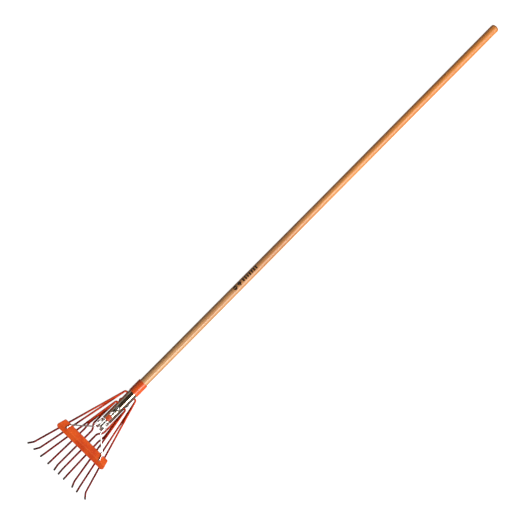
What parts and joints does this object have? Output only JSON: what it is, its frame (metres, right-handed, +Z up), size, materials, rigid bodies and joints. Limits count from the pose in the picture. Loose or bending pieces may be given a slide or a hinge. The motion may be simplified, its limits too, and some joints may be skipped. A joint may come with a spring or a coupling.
{
  "type": "leaf rake",
  "caption": "Wire leaf rake with a long turned wooden handle, a chromed shank, a fan of orange hooked tines, a crossbar and a coiled spring brace.",
  "frame": {"origin": "on the ground under the middle of the rake as it lies on its hooks and its handle's end", "axes": "+X runs from the tines towards the handle's top end, +Y across the tines, +Z up, away from the ground"},
  "size_m": [1.5704, 0.205, 0.0444],
  "materials": {
    "turned_wood": "clear-varnished turned hardwood, satin",
    "orange_paint": "gloss orange enamel on pressed steel",
    "orange_wire_paint": "orange enamel on spring steel wire, worn bare at the tips",
    "chrome_plate": "chrome plate, dulled by use",
    "plated_wire": "satin nickel-plated spring wire",
    "bright_zinc": "bright zinc plate",
    "orange_moulding": "moulded orange plastic",
    "nylon": "natural moulded nylon, off-white"
  },
  "bodies": {
    "root": {"handle": "turned_wood", "socket_collar": "orange_paint", "collar_screw": "bright_zinc", "shank_tube": "chrome_plate", "cross_rivet": "bright_zinc", "clamp_bolt": "chrome_plate", "front_saddle_washer": "bright_zinc", "back_saddle_washer": "bright_zinc", "clamp_nut": "bright_zinc", "spring_hanger": "bright_zinc", "spring_pin": "bright_zinc", "spring_bushes": "nylon", "spring_brace": "plated_wire", "spring_saddle": "orange_moulding", "crossbar_shell": "orange_paint", "crossbar_back": "orange_paint", "tine_01": "orange_wire_paint", "tine_02": "orange_wire_paint", "tine_03": "orange_wire_paint", "tine_04": "orange_wire_paint", "tine_05": "orange_wire_paint", "tine_06": "orange_wire_paint", "tine_07": "orange_wire_paint", "tine_08": "orange_wire_paint", "tine_09": "orange_wire_paint", "tine_10": "orange_wire_paint"}
  },
  "joints": []
}
